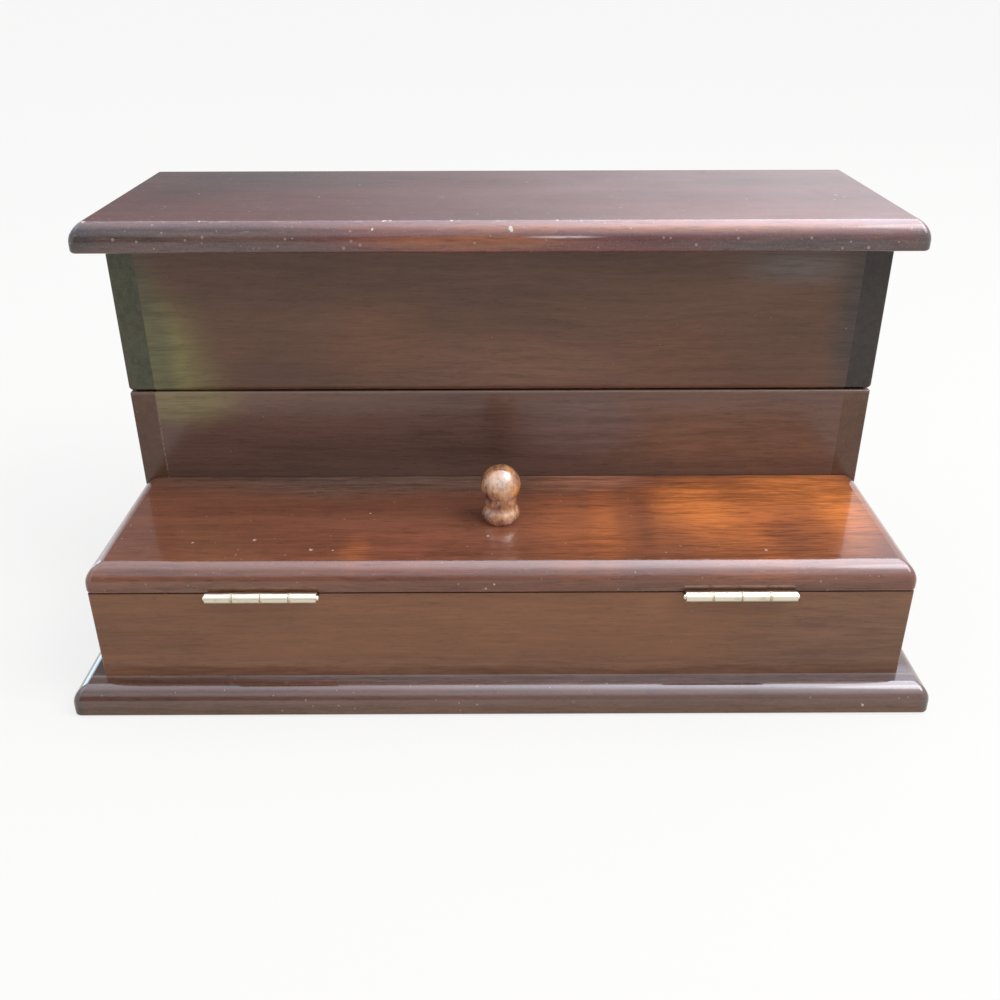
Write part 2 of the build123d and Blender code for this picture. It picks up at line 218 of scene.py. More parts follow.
def mahogany(name, **changes):
    look = {**board, **changes}
    sheet = Sheet(bpy.data.materials.new(name))
    at = sheet.add("ShaderNodeTexCoord", output="Object")
    facing = sheet.split(at.also("Normal"))
    place = sheet.split(at)
    seeded = sheet.vector("ADD", at, look["seed"])
    sway = sheet.noise(sheet.stretch(seeded, look["sway"]), 3, output="Color")
    sway = sheet.stretch(sheet.vector("SUBTRACT", sway, grey(0.5)), look["wander"])
    bent = sheet.vector("ADD", seeded, sway)

    def stretched(key):
        along, across = look[key]
        scale = [across] * 3
        scale[look["grain"]] = along
        return sheet.stretch(bent, tuple(scale))

    broad = sheet.noise(stretched("broad"), 3)
    streak = sheet.noise(stretched("streak"), 3, 0.6)
    fibre = sheet.noise(stretched("fibre"), 2)
    poreField = sheet.noise(stretched("pores"), 2)
    pores = sheet.ease(poreField, *look["poreStep"])
    flecks = 1 - sheet.ease(poreField, *look["fleckStep"])
    cloud = sheet.noise(sheet.stretch(seeded, look["cloud"]), 3, 0.6)
    tone = sheet.blend(look["toneShares"], broad, streak, fibre, cloud)
    colour = sheet.tinted(tone, look)
    endGrain = sheet.ease(abs(facing[look["grain"]]), *look["endStep"])
    colour = sheet.mix(endGrain * look["endAmount"], colour, look["endGrain"])

    # figure, uneven stain, and patches of painted light, painted shade and painted reflection
    wobble = sheet.blend(look["wobbleShares"], cloud, streak)
    lines = sheet.blend(look["figureShares"], broad, streak, fibre)
    lines = sheet.ease(lines, *look["figureStep"])
    figure = sheet.mix(lines, grey(1 - look["figure"]), grey(1 + look["figure"]))
    colour = sheet.overlaid(colour, at, look["patches"], figure, wobble)
    colour = sheet.mix(pores * look["poreDepth"], colour, look["pore"])
    colour = sheet.mix(flecks * look["fleckAmount"], colour, look["fleck"])

    # bare wood inside the rooms
    inside = 0
    for low, high in bareWood["rooms"]:
        room = 1
        for value, start, end in zip(place, low, high):
            middle, half = (start + end) / 2, (end - start) / 2 + skin
            room = (abs(value - middle) < half) * room
        inside = room + inside
    plain = sheet.mix(tone, grey(bareWood["dim"]), grey(bareWood["bright"]))
    plain = sheet.mix(1.0, plain, bareWood["colour"], "MULTIPLY")
    plain = sheet.mix(pores * bareWood["pores"], plain, look["pore"])
    colour = sheet.mix(inside, colour, plain)

    # rubbed arrises, and chips down to bare wood
    rub = sheet.noise(sheet.stretch(seeded, look["rub"]), 4, 0.7)
    for line in look["worn"]:
        near, soft = 1, line["reach"] * 0.9
        for axis, middle in zip(line["across"], line["at"]):
            near = sheet.within(place[axis], middle, line["reach"], soft) * near
        mask = near * sheet.ease(rub, line["from"], line["from"] + look["rubStep"])
        mask = mask * line["amount"]
        colour = sheet.mix(mask, colour, line.get("colour", look["wornColour"]))
    ragged = sheet.noise(sheet.stretch(seeded, look["ragged"]), 3, 0.7)
    ragged = (ragged - 0.5) * look["raggedness"]
    for middle, size, wood in look["chips"]:
        away = sheet.vector("DISTANCE", at, middle, "Value")
        start, end = [share * size for share in look["chipStep"]]
        mask = 1 - sheet.ease(away + ragged * size, start, end)
        colour = sheet.mix(mask, colour, wood)

    # dust of many sizes in the varnish, thicker in places
    cells = sheet.stretch(seeded, look["dustCells"])
    cells = sheet.add("ShaderNodeTexVoronoi", inputs={"Vector": cells, "Scale": 1.0})
    pick = sheet.split(cells.also("Color"))[0]
    size = (pick - (1 - look["dust"])) * look["dustSize"] + (cloud - 0.5) * look["dustCloud"]
    speck = 1 - sheet.ease(cells - size, *look["dustStep"])
    colour = sheet.mix(speck * look["dustAmount"], colour, look["dustColour"])
    grit = sheet.noise(sheet.stretch(seeded, look["grit"]), 2, 0.6)
    grit = sheet.ease(grit, *look["gritStep"])
    colour = sheet.mix(grit * look["haze"], colour, look["dustColour"])

    smear = sheet.noise(sheet.stretch(at, look["smears"]), 4, 0.6)
    rough = look["rough"] + (smear - 0.5) * look["smear"] + inside * bareWood["rough"]
    ripple = sheet.noise(sheet.stretch(seeded, look["ripples"]), 2)
    shares = (*look["heightShares"], look["ripple"])
    height = sheet.blend(shares, fibre, poreField, pores, speck, ripple)

    # the coat is uneven, and rubbed thin in places
    coat = 1 + (cloud - 0.5) * look["uneven"]
    for spot in look["thin"]:
        coat = coat * (1 - sheet.patch(at, spot, wobble))
    coat = coat * look["coat"]
    return lacquered(sheet, colour, rough, height, coat.maths("MINIMUM", coat, 1), look)


def dress(material, *names):
    for name in names:
        nodes[name].data.materials.clear()
        nodes[name].data.materials.append(material)


# Places of worn lines and chips follow the boards' own edges
baseRun, lidRun, topRun = 5.4 * mm, 6.2 * mm, 5.0 * mm  # how far each moulding reaches in
alongX = {"across": (1, 2), "reach": 0.9 * mm}
# a painted highlight: a light line along the top front arris of the tall box
paintedRimHighlight = {**alongX, "at": (tallFrontLow.y, tallFrontHigh.z), "from": 0.30, "amount": 0.45,
       "colour": (0.28, 0.21, 0.17)}
bare = (0.60, 0.47, 0.41)  # wood under a chip
paleChip, paleSpeck = (0.74, 0.66, 0.62), (0.50, 0.42, 0.41)

base = mahogany(
    "baseWood", seed=(3.1, 0.7, 1.9), dust=0.5, ripple=2.0, specular=0.45, coat=1.0, haze=0.05,
    dark=(0.080, 0.033, 0.020), middle=(0.128, 0.054, 0.034), light=(0.180, 0.080, 0.050),
    worn=[
        {**alongX, "at": (baseLow.y + baseRun, baseHigh.z), "from": 0.56, "amount": 0.35},
        {**alongX, "at": (lowFrontLow.y - 0.4 * mm, baseHigh.z), "reach": 0.7 * mm, "from": 0.32,
         "amount": 0.5, "colour": (0.34, 0.27, 0.24)},  # varnish and glue along the joint
    ],
    patches=[
        # dust and a painted pale reflection along the base's top, in front of the low box
        {"at": (0.060, lowFrontLow.y, baseHigh.z), "reach": (0.240, 0.0065, 0.002),
         "edge": 0.6, "wobble": 0.5, "colour": (0.195, 0.155, 0.160), "amount": 0.9},
        {"at": (0, baseLow.y, 0.001), "reach": (0.400, 0.010, 0.0055), "edge": 0.3,
         "wobble": 0.5, "colour": (0.155, 0.076, 0.040), "amount": 0.8},
        # painted shade on the base's two ends
        {"at": (baseLow.x, baseLow.y, 0.004), "reach": (0.006, 0.060, 0.012), "edge": 0.2,
         "colour": (0.060, 0.052, 0.045), "amount": 0.7},
        {"at": (baseHigh.x, baseLow.y, 0.004), "reach": (0.006, 0.060, 0.012), "edge": 0.2,
         "colour": (0.080, 0.070, 0.062), "amount": 0.6},
    ],
    thin=[{"at": (0, baseLow.y, 0), "reach": (0.400, 0.006, 0.0066), "edge": 0.5,
           "wobble": 0.4, "amount": 0.9}],
    chips=[((134.7 * mm, baseLow.y, 4.0 * mm), 0.6 * mm, bare)])
dress(base, "base_board")

lowFront = mahogany(
    "lowFrontWood", seed=(8.2, 4.4, 0.3), **panel,
    dark=(0.165, 0.068, 0.032), middle=(0.235, 0.098, 0.045), light=(0.310, 0.132, 0.062),
    patches=[
        {"at": (0, lowFrontLow.y, baseHigh.z), "reach": (0.400, 0.01, 0.009), "edge": 0.3,
         "wobble": 0.5, "colour": (0.270, 0.140, 0.090), "amount": 0.65},
        {"at": (0.140, lowFrontLow.y, 0.028), "reach": (0.075, 0.01, 0.050), "edge": 0.1,
         "colour": (0.180, 0.098, 0.060), "amount": 0.55},
    ])
dress(lowFront, "low_front")

tallFront = mahogany(
    "tallFrontWood", seed=(1.4, 6.1, 2.2), **panel,
    dark=(0.118, 0.066, 0.050), middle=(0.162, 0.092, 0.071), light=(0.212, 0.120, 0.090),
    patches=[
        # Painted reflections: a greenish one at the left, lighter ones to the right of the middle,
        # and a dark one just left of the middle
        {"at": (-0.130, tallFrontLow.y, 0.094), "reach": (0.036, 0.01, 0.016), "edge": 0.3,
         "wobble": 0.6, "colour": (0.25, 0.215, 0.095), "amount": 0.7},
        {"at": (0.080, tallFrontLow.y, 0.075), "reach": (0.075, 0.01, 0.030), "edge": 0.1,
         "colour": (0.24, 0.135, 0.085), "amount": 0.6},
        {"at": (0.034, tallFrontLow.y, 0.080), "reach": (0.036, 0.01, 0.018), "edge": 0.3,
         "wobble": 0.5, "colour": (0.205, 0.145, 0.140), "amount": 0.6},
        {"at": (-0.016, tallFrontLow.y, 0.078), "reach": (0.024, 0.01, 0.020), "edge": 0.6,
         "wobble": 0.4, "colour": (0.140, 0.080, 0.062), "amount": 0.6},
    ],
    thin=[{"at": (0, tallFrontLow.y, tallFrontHigh.z), "reach": (0.400, 0.004, 0.0022),
           "edge": 0.3, "wobble": 0.4, "amount": 0.85}],
    # with the painted highlight along its top front arris
    worn=[paintedRimHighlight])
dress(tallFront, "tall_front")

coverFront = mahogany(
    "coverFrontWood", seed=(5.6, 2.8, 7.7), wander=0.012, **panel,
    dark=(0.082, 0.040, 0.024), middle=(0.132, 0.064, 0.038), light=(0.185, 0.090, 0.053),
    patches=[
        {"at": (0.010, coverFrontLow.y, 0.104), "reach": (0.085, 0.01, 0.024), "edge": 0.1,
         "colour": (0.225, 0.105, 0.066), "amount": 0.6},
        {"at": (-0.050, coverFrontLow.y, 0.118), "reach": (0.030, 0.01, 0.026), "edge": 0.1,
         "colour": (0.200, 0.080, 0.040), "amount": 0.5},
        {"at": (0.070, coverFrontLow.y, 0.112), "reach": (0.040, 0.01, 0.022), "edge": 0.1,
         "colour": (0.215, 0.085, 0.042), "amount": 0.4},
        # Painted greyish shade under the top at the right, a painted greenish reflection at the
        # left, painted greenish shade along the left end and painted shade along the right end
        {"at": (0.114, coverFrontLow.y, 0.147), "reach": (0.034, 0.01, 0.011), "edge": 0.1,
         "wobble": 0.6, "colour": (0.155, 0.135, 0.130), "amount": 0.7},
        {"at": (-0.144, coverFrontLow.y, 0.098), "reach": (0.038, 0.01, 0.056), "edge": 0.35,
         "wobble": 0.9, "colour": (0.225, 0.205, 0.072), "amount": 0.85},
        {"at": (coverFrontLow.x, coverFrontLow.y, 0.112), "reach": (0.0135, 0.01, 0.055),
         "edge": 0.4, "wobble": 0.4, "colour": (0.110, 0.108, 0.056), "amount": 0.75},
        {"at": (coverFrontHigh.x, coverFrontLow.y, 0.128), "reach": (0.014, 0.01, 0.060),
         "edge": 0.1, "wobble": 0.5, "colour": (0.050, 0.044, 0.040), "amount": 0.8},
    ])
dress(coverFront, "cover_front")

sides = mahogany(
    "sideWood", grain=1, seed=(2.5, 9.3, 4.1), endAmount=0.0, **panel,
    dark=(0.092, 0.047, 0.029), middle=(0.135, 0.070, 0.043), light=(0.180, 0.092, 0.057),
    worn=[
        # the painted highlight along the top front arris
        paintedRimHighlight,
        {"across": (0, 1), "reach": 0.5 * mm, "at": (tallFrontLow.x, tallFrontLow.y),
         "from": 0.40, "amount": 0.6},
    ])
dress(sides, "left_side", "right_side")

coverSides = mahogany(
    "coverSideWood", grain=1, seed=(7.5, 1.3, 6.6), endGrain=(0.085, 0.054, 0.036), **panel,
    dark=(0.090, 0.042, 0.025), middle=(0.140, 0.066, 0.038), light=(0.190, 0.090, 0.052),
    patches=[
        # the right board's front edge in painted shade, the left board's front edge in a painted
        # greenish reflection
        {"at": (coverFrontHigh.x, coverFrontLow.y, 0.135), "reach": (0.012, 0.003, 0.09),
         "edge": 0.8, "colour": (0.036, 0.030, 0.028), "amount": 0.95},
        {"at": (coverFrontLow.x, coverFrontLow.y, 0.135), "reach": (0.012, 0.003, 0.09),
         "edge": 0.8, "colour": (0.072, 0.078, 0.044), "amount": 0.9},
        {"at": (coverFrontLow.x, coverFrontLow.y, 0.098), "reach": (0.012, 0.003, 0.045),
         "edge": 0.3, "colour": (0.062, 0.066, 0.036), "amount": 0.8},
    ])
dress(coverSides, "cover_left", "cover_right")

backs = mahogany(
    "backWood", seed=(6.9, 3.3, 8.8), **panel,
    dark=(0.090, 0.042, 0.025), middle=(0.140, 0.066, 0.038), light=(0.190, 0.090, 0.052))
dress(backs, "back_panel", "cover_back")


def paintedLightPatch(x, y, wide, deep, amount, colour=(0.56, 0.165, 0.046)):
    # one soft patch on the lid's top: painted sunlight, or painted shade where its colour is dark
    return {"at": (x * mm, y * mm, lidHigh.z), "reach": (wide * mm, deep * mm, 20 * mm),
            "edge": 0.1, "wobble": 1.3, "amount": amount, "colour": colour}


paintedSunlight = (0.78, 0.240, 0.058)
# painted shade, darker gaps between the patches of painted sunlight
shade = (0.190, 0.066, 0.036)
lidWear = {**alongX, "at": (lidLow.y + lidRun, lidHigh.z)}
lidChips = [  # across, back and size, in millimetres
    (-92.6, -62.5, 0.75), (-70.1, -69.8, 0.7), (-115.1, -64.4, 0.6), (-51.3, -41.6, 0.5),
    (-4.9, -59.9, 0.6), (-62.1, -70.3, 0.4), (97.6, -71.0, 0.6)]
lid = mahogany(
    "lidWood", seed=(4.7, 5.2, 3.6), dust=0.5, pores=(130, 1600), figure=0.42, coatRough=0.045,
    ripple=2.0, haze=0.06,
    dark=(0.125, 0.044, 0.025), middle=(0.205, 0.074, 0.042), light=(0.300, 0.114, 0.062),
    patches=[
        # Patches of painted sunlight, strongest towards the right, with painted shade between them
        paintedLightPatch(-40, -66, 70, 30, 0.5, (0.270, 0.085, 0.045)),
        paintedLightPatch(-54, -70, 8, 16, 0.55, (0.42, 0.130, 0.048)), paintedLightPatch(28, -46, 30, 60, 0.35),
        paintedLightPatch(95, -40, 74, 70, 0.85), paintedLightPatch(40, -38, 9, 60, 0.45),
        paintedLightPatch(78, -34, 22, 46, 0.80, paintedSunlight), paintedLightPatch(134, -28, 17, 60, 0.95, paintedSunlight),
        paintedLightPatch(55, -52, 7, 40, 0.55, shade), paintedLightPatch(110, -62, 14, 26, 0.65, shade),
        paintedLightPatch(68, -12, 26, 11, 0.6, shade),
        # painted shade and a painted greyish reflection along the back, below the tall box
        paintedLightPatch(-50, -11, 130, 26, 0.85, (0.172, 0.112, 0.086)),
        paintedLightPatch(34, -14, 30, 14, 0.8, (0.440, 0.190, 0.120)), paintedLightPatch(118, -20, 34, 24, 0.85, paintedSunlight),
        {"at": (0.090, lidLow.y, lidLow.z), "reach": (0.090, 0.007, 0.006), "edge": 0.2,
         "colour": (0.150, 0.074, 0.048), "amount": 0.6},
        # painted shade on the left of the front moulding
        {"at": (-0.115, lidLow.y, lidHigh.z), "reach": (0.070, 0.007, 0.005), "edge": 0.2,
         "colour": (0.105, 0.070, 0.062), "amount": 0.6},
        {"at": (-0.100, lidLow.y, lidLow.z), "reach": (0.080, 0.007, 0.006), "edge": 0.2,
         "colour": (0.170, 0.092, 0.046), "amount": 0.5},
    ],
    thin=[
        {"at": (0, lidLow.y, lidLow.z), "reach": (0.400, 0.007, 0.0066), "edge": 0.4,
         "wobble": 0.4, "amount": 0.9},
        {"at": (lidLow.x, 0.010, lidHigh.z), "reach": (0.0066, 0.086, 0.009), "edge": 0.3,
         "amount": 0.95},
    ],
    worn=[
        {**lidWear, "from": 0.55, "amount": 0.4},
        {**alongX, "at": (lidLow.y + 0.4 * lidRun, lidHigh.z - 2 * mm), "reach": 3.2 * mm,
         "from": 0.60, "amount": 0.35},
    ],
    chips=[((x * mm, y * mm, lidHigh.z), size * mm, bare) for x, y, size in lidChips] + [
        ((-5.5 * mm, lidLow.y, 49.7 * mm), 0.5 * mm, bare),
        ((-2.5 * mm, lidLow.y, 51.6 * mm), 0.5 * mm, bare),
        # a painted highlight at the left front corner, pale grey
        ((-146.0 * mm, lidLow.y + lidRun, lidHigh.z), 1.0 * mm, (0.62, 0.62, 0.64))])
dress(lid, "front_lid")

edgeChips = [  # across, down from the top and size, in millimetres
    (-154.0, 0, 0.8), (-111.0, 0, 0.6), (-42.8, 0, 0.8), (-40.4, 0, 0.6), (-17.7, 0, 0.6),
    (-47.0, 2.6, 0.5), (4.1, 2.4, 1.0), (5.6, 1.2, 0.7), (21.2, 0, 0.5), (142.7, 3.9, 0.6),
    (-88.5, 9.5, 0.5)]
topSpecks = [  # across, back and size, in millimetres
    (-123.9, 36.8, 0.5), (-73.4, 30.0, 0.6), (-23.0, 29.2, 0.7), (-8.6, -2.7, 0.5),
    (137.1, 30.8, 0.9), (139.5, 27.0, 0.6), (134.0, 22.0, 0.5), (99.2, 23.4, 0.5),
    (-131.0, 12.0, 0.5), (-96.0, 3.0, 0.4), (47.0, 8.0, 0.5), (-60.0, 55.0, 0.6),
    (12.0, 60.0, 0.6), (70.0, 2.0, 0.4)]
top = mahogany(
    "topWood", seed=(9.1, 0.2, 5.5), dust=0.8, pores=(160, 1500), smear=0.30, ripple=3.0,
    uneven=1.20, haze=0.16,
    dark=(0.070, 0.024, 0.022), middle=(0.150, 0.046, 0.042), light=(0.240, 0.080, 0.068),
    patches=[
        # painted shade at the back left, a painted pale reflection at the back right, and painted
        # light at the front right
        {"at": (-0.110, topHigh.y, topHigh.z), "reach": (0.110, 0.090, 0.02), "edge": 0.1,
         "colour": (0.070, 0.050, 0.045), "amount": 0.85},
        {"at": (0.120, topHigh.y, topHigh.z), "reach": (0.120, 0.060, 0.004), "edge": 0.1,
         "colour": (0.150, 0.115, 0.112), "amount": 0.6},
        {"at": (0.100, topLow.y, topHigh.z), "reach": (0.110, 0.050, 0.004), "edge": 0.1,
         "colour": (0.330, 0.115, 0.090), "amount": 0.75},
        # painted shade on the left of the front moulding
        {"at": (-0.150, topLow.y, topHigh.z - 3 * mm), "reach": (0.130, 0.008, 0.006),
         "edge": 0.2, "colour": (0.085, 0.066, 0.058), "amount": 0.85},
        # a painted warm highlight along the upper moulding
        {"at": (0.060, topLow.y, topHigh.z - 1.5 * mm), "reach": (0.170, 0.008, 0.0032),
         "edge": 0.2, "colour": (0.520, 0.215, 0.115), "amount": 0.8},
        # painted greyish shade low on the moulding, left and right
        {"at": (-0.110, topLow.y, topHigh.z - 9 * mm), "reach": (0.090, 0.012, 0.0060),
         "edge": 0.3, "colour": (0.105, 0.080, 0.072), "amount": 0.7},
        {"at": (0.120, topLow.y, topHigh.z - 9 * mm), "reach": (0.080, 0.012, 0.0060),
         "edge": 0.3, "colour": (0.095, 0.078, 0.074), "amount": 0.8},
        {"at": (-0.010, topLow.y, topHigh.z - 7 * mm), "reach": (0.060, 0.012, 0.0045),
         "edge": 0.2, "colour": (0.36, 0.125, 0.050), "amount": 0.70},
        # painted shade at both front corners
        {"at": (topLow.x, topLow.y, topHigh.z - 6 * mm), "reach": (0.014, 0.020, 0.009),
         "edge": 0.2, "colour": (0.060, 0.055, 0.052), "amount": 0.85},
        {"at": (topHigh.x, topLow.y, topHigh.z - 6 * mm), "reach": (0.010, 0.020, 0.007),
         "edge": 0.2, "colour": (0.085, 0.078, 0.074), "amount": 0.8},
        # a painted highlight streak on the moulding
        {"at": (0.024, topLow.y, topHigh.z - 5.2 * mm), "reach": (0.018, 0.012, 0.0006),
         "edge": 0.3, "wobble": 0.3, "colour": (0.62, 0.54, 0.55), "amount": 0.8},
    ],
    thin=[
        {"at": (-0.150, topLow.y, topHigh.z - 3 * mm), "reach": (0.150, 0.008, 0.006),
         "edge": 0.1, "amount": 0.45},
        {"at": (0, topLow.y, topLow.z), "reach": (0.400, 0.012, 0.006), "edge": 0.4,
         "wobble": 0.4, "amount": 0.5},
        {"at": (0.090, topHigh.y, topHigh.z), "reach": (0.090, 0.050, 0.008), "edge": 0.1,
         "amount": 0.16},
    ],
    worn=[
        {**alongX, "at": (topLow.y + topRun, topHigh.z), "from": 0.50, "amount": 0.8},
        {**alongX, "at": (topLow.y + 0.4 * topRun, topHigh.z - 2 * mm), "reach": 3.2 * mm,
         "from": 0.60, "amount": 0.45},
    ],
    chips=[((x * mm, topLow.y + (0.35 if down else 1) * topRun, topHigh.z - down * mm),
            size * mm, paleChip) for x, down, size in edgeChips] + [
        ((x * mm, y * mm, topHigh.z), size * mm, paleSpeck) for x, y, size in topSpecks])
dress(top, "cover_top")
print("boards finished")


# The knob: turned, with a lighter mottled stain and a darker stain on top, a painted highlight on
# the upper front, painted light on the right and painted shade low on the left
knobLow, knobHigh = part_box("knob")


def stainAndPaintedLight(x, y, z, wide, tall, amount, colour):
    # from the foot of the knob, in millimetres
    foot = Vector(((knobLow.x + knobHigh.x) / 2, (knobLow.y + knobHigh.y) / 2, lidHigh.z))
    return {"at": tuple(foot + Vector((x, y, z)) * mm), "reach": (wide * mm, wide * mm, tall * mm),
            "edge": 0.2, "wobble": 1.2, "amount": amount, "colour": colour}


knobLook = {
    "dark": (0.130, 0.052, 0.028), "middle": (0.500, 0.225, 0.110), "light": (0.900, 0.520, 0.260),
    "patches": [
        # painted highlight on the upper front
        stainAndPaintedLight(-0.5, -5.0, 18.6, 6.5, 3.6, 0.75, (0.92, 0.72, 0.60)),
        # painted light on the right
        stainAndPaintedLight(5.5, -4.0, 14.0, 4.5, 4.5, 0.85, (0.95, 0.40, 0.12)),
        # painted shade low on the left
        stainAndPaintedLight(-5.0, -3.5, 10.8, 6.0, 3.0, 0.75, (0.17, 0.085, 0.055)),
        # a darker stain on top
        stainAndPaintedLight(0, 2.0, 22.8, 5.5, 2.0, 0.60, (0.30, 0.12, 0.055)),
        # painted shade on the foot's left
        stainAndPaintedLight(-5.0, -3.5, 3.6, 4.5, 3.0, 0.70, (0.32, 0.21, 0.16)),
        # painted light on the foot's right
        stainAndPaintedLight(3.5, -5.0, 4.0, 4.5, 3.0, 0.80, (0.86, 0.52, 0.30)),
    ],
    "dim": 0.54, "bright": 1.24,
    "mottle": (230, 230, 190), "grain": (900, 900, 90), "figureStep": (0.38, 0.60),
    "flakes": (700, 700, 500), "flakeStep": (0.60, 0.70), "flakeAmount": 0.6,
    "worn": (0.90, 0.76, 0.66), "bump": 0.5, "bumpDepth": 0.10 * mm,
    "specular": 0.7, "coat": 1.0, "coatRough": 0.10, "rough": 0.22, "smear": 0.1,
    "toneShares": (0.75, 0.25), "heightShares": (0.8, 0.2),  # mottle and grain
}


def knobWood(look):
    sheet = Sheet(bpy.data.materials.new("knobWood"))
    at = sheet.add("ShaderNodeTexCoord", output="Object")
    mottle = sheet.noise(sheet.stretch(at, look["mottle"]), 4, 0.65)
    grain = sheet.noise(sheet.stretch(at, look["grain"]), 2)
    tone = sheet.blend(look["toneShares"], mottle, grain)
    figure = sheet.ease(tone, *look["figureStep"])
    figure = sheet.mix(figure, grey(look["dim"]), grey(look["bright"]))
    colour = sheet.overlaid(sheet.tinted(tone, look), at, look["patches"], figure, mottle)
    flake = sheet.noise(sheet.stretch(at, look["flakes"]), 3, 0.7)
    flakes = sheet.ease(flake, *look["flakeStep"]) * look["flakeAmount"]
    colour = sheet.mix(flakes, colour, look["worn"])
    rough = look["rough"] + (flake - 0.5) * look["smear"]
    height = sheet.blend(look["heightShares"], mottle, grain)
    return lacquered(sheet, colour, rough, height, look["coat"], look)


dress(knobWood(knobLook), "knob")

# Brass hinges and screws, steel base screws
metalLook = {
    "tarnish": (150, 260, 260), "dullStep": (0.50, 0.74), "dullAmount": 0.8,
    "drawn": (120, 5200, 5200), "smear": 0.30, "lines": 0.10, "bump": 0.3, "bumpDepth": 0.02 * mm,
}
brassLook = {
    **metalLook,
    "clean": (0.74, 0.68, 0.52), "dull": (0.50, 0.42, 0.29), "rough": 0.44,
    "barrel": 1.85 * mm, "knuckles": 4,
    "pinReach": 3,  # how many barrel radii around a pin its hinge reaches
    "outerJoint": 16 * mm,  # beyond it are the barrel's ends, not joints
    "joint": 0.045, "jointSoft": 0.03, "jointAmount": 0.75,  # shares of a knuckle
    # painted shade: the leaves' edges next to each barrel, down in the mortises, turn this dark
    # brown and lose their metal
    "overlaid": (0.120, 0.062, 0.042), "shadeFrom": 0.55, "shadeAmount": 0.95, "darkRough": 0.3,
}
steelLook = {
    **metalLook,
    "clean": (0.60, 0.60, 0.58), "dull": (0.25, 0.20, 0.16), "rough": 0.35,
}


def metal(name, look, pins=()):
    sheet = Sheet(bpy.data.materials.new(name))
    at = sheet.add("ShaderNodeTexCoord", output="Object")
    x, y, z = sheet.split(at)
    tarnish = sheet.noise(sheet.stretch(at, look["tarnish"]), 4, 0.65)
    drawn = sheet.noise(sheet.stretch(at, look["drawn"]), 2)
    dull = sheet.ease(tarnish, *look["dullStep"]) * look["dullAmount"]
    colour = sheet.mix(dull, look["clean"], look["dull"])
    rough = look["rough"] + (tarnish - 0.5) * look["smear"] + (drawn - 0.5) * look["lines"]
    metallic = 1.0
    for low, high in pins:
        middle, radius = (low + high) / 2, look["barrel"]
        outward = -1 if middle.y < 0 else 1
        reach = look["pinReach"] * radius
        near = (abs(y - middle.y) < reach) * (abs(z - middle.z) < reach)
        shadedLeaf = sheet.ease((middle.y - y) * outward, radius * look["shadeFrom"], radius) * near
        along = (x - low.x) * (look["knuckles"] / (high.x - low.x))
        gap = (along + 0.5).part() - 0.5  # 0 where two knuckles meet
        gap = sheet.within(gap, 0, look["joint"], look["jointSoft"]) * near
        gap = gap * (abs(x - middle.x) < look["outerJoint"])
        colour = sheet.mix(gap * look["jointAmount"], colour, look["dull"])
        # painted shade over the leaves' edges next to each barrel
        colour = sheet.mix(shadedLeaf * look["shadeAmount"], colour, look["overlaid"])
        metallic = metallic - shadedLeaf
        rough = rough + (shadedLeaf + gap) * look["darkRough"]
    bump = sheet.add("ShaderNodeBump", inputs={
        "Strength": look["bump"], "Distance": look["bumpDepth"], "Height": drawn})
    shader = sheet.add("ShaderNodeBsdfPrincipled", inputs={
        "Base Color": colour, "Metallic": metallic, "Roughness": rough, "Normal": bump})
    sheet.add("ShaderNodeOutputMaterial", inputs={"Surface": shader})
    return sheet.owner


hinges = [name for name in nodes if name.endswith(("leaf", "pin"))]
brassScrews = [name for name in nodes if "hinge_screws" in name] + ["knob_screw"]
pinBoxes = [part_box(name) for name in nodes if name.endswith("pin")]
dress(metal("brass", brassLook, pinBoxes), *hinges, *brassScrews)
dress(metal("steel", steelLook), "base_screws")
print("knob and metalwork finished")


# The studio: a pale floor, a backdrop that is lighter to the right, an open sky above and
# behind, a soft band of light high in front, and a window low at the back left. A direction is
# taken apart into X, Y and Z from -1 to 1, and a pair says where a light starts and is full.
white = (1.0, 1.0, 1.0)
studio = {
    "floorColour": (0.85, 0.85, 0.84), "floorSize": 30.0, "floorDrop": 0.4 * mm, "floorGlow": 0.78,
    "toRight": (-0.35, 0.55), "dimSide": 0.24, "brightSide": 1.15,
    "rise": (0.15, 0.24), "lowShare": 0.80, "riseShare": 0.28,
    "toFarLeft": (0.42, 0.65), "farLeft": 0.9, "onSurfaces": 0.30,
    "sky": (0.50, 0.88), "skyLeft": 2.0, "skyRight": 7.4, "toFront": (0.00, 0.75), "skyFront": 0.15,
    "band": 1.0, "bandHeight": 0.62, "bandReach": 0.16, "bandSoft": 0.12, "bandFront": (0.30, 0.70),
    "window": 3.0, "windowAt": (-0.62, 0.735, 0.10), "windowReach": (0.10, 0.055, 0.22),
    "windowSoft": (0.04, 0.02, 0.10), "windowTint": (0.66, 0.94, 1.25),
    "backdropTint": (1.0, 0.93, 0.98), "skyTint": (0.92, 0.98, 1.14), "tintHeight": (0.30, 0.70),
    "keySize": 0.9, "keyPower": 9.0, "keyTint": (1.0, 0.98, 0.95), "keyAt": (0.95, -0.42, 1.20),
}


def seenRay(sheet):  # 1 for the camera's own rays, and 1 for those and reflections of them
    ray = sheet.add("ShaderNodeLightPath", output="Is Camera Ray")
    return ray, ray + ray.also("Is Glossy Ray") + ray.also("Is Transmission Ray")


